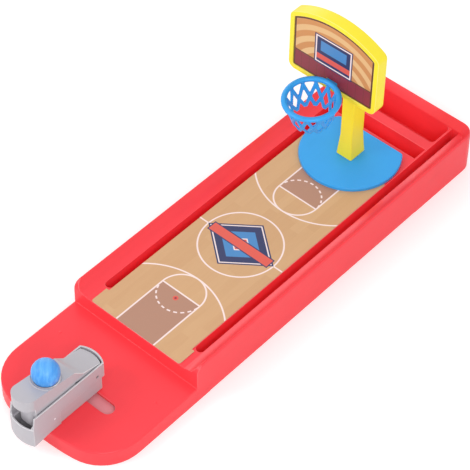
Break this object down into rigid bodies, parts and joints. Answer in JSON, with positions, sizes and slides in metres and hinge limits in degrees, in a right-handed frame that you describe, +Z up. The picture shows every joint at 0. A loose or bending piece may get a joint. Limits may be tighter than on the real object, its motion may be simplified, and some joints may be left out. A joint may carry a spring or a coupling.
{
  "type": "tabletop basketball game",
  "caption": "Tabletop basketball game: a long red tray with a printed court, a finger lever that flicks a small ball, and a backboard with a netted hoop.",
  "frame": {"origin": "centre of the bounding box at the table, z = 0 is the tray's lower edge", "axes": "+Y runs along the court from the launcher to the hoop, +X is to the right for the player, +Z is up"},
  "size_m": [0.1068, 0.3824, 0.1585],
  "materials": {
    "red": "gloss",
    "card": "satin",
    "blue": "gloss",
    "yellow": "satin",
    "grey": "satin",
    "steel": "bright",
    "ball_blue": "satin"
  },
  "bodies": {
    "game": {"tray": "red", "court_card": "card", "stand_base": "blue", "stand_post": "yellow", "backboard_frame": "yellow", "backboard_card": "card", "hoop_net": "blue"},
    "carriage": {"launcher_housing": "grey", "pivot_pin": "steel", "launcher_spring": "steel", "retaining_plate": "grey", "retaining_screw": "steel"},
    "lever": {"launcher_lever": "grey"},
    "ball": {"ball": "ball_blue"}
  },
  "joints": [
    {"name": "launcher_slide", "type": "slide", "parent": "game", "child": "carriage", "axis": [1, 0, 0], "range_m": [-0.0205, 0.0205]},
    {"name": "lever_press", "type": "hinge", "parent": "carriage", "child": "lever", "pos_m": [0, -0.13405, 0.0284], "axis": [1, 0, 0], "range_deg": [0, 9.5], "stiffness_Nm_per_rad": 0.05, "springref_deg": -20.05, "deforming": ["launcher_spring"]},
    {"name": "ball_lift", "type": "slide", "parent": "lever", "child": "ball", "axis": [0, 0, 1], "range_m": [0, 0.1]}
  ]
}
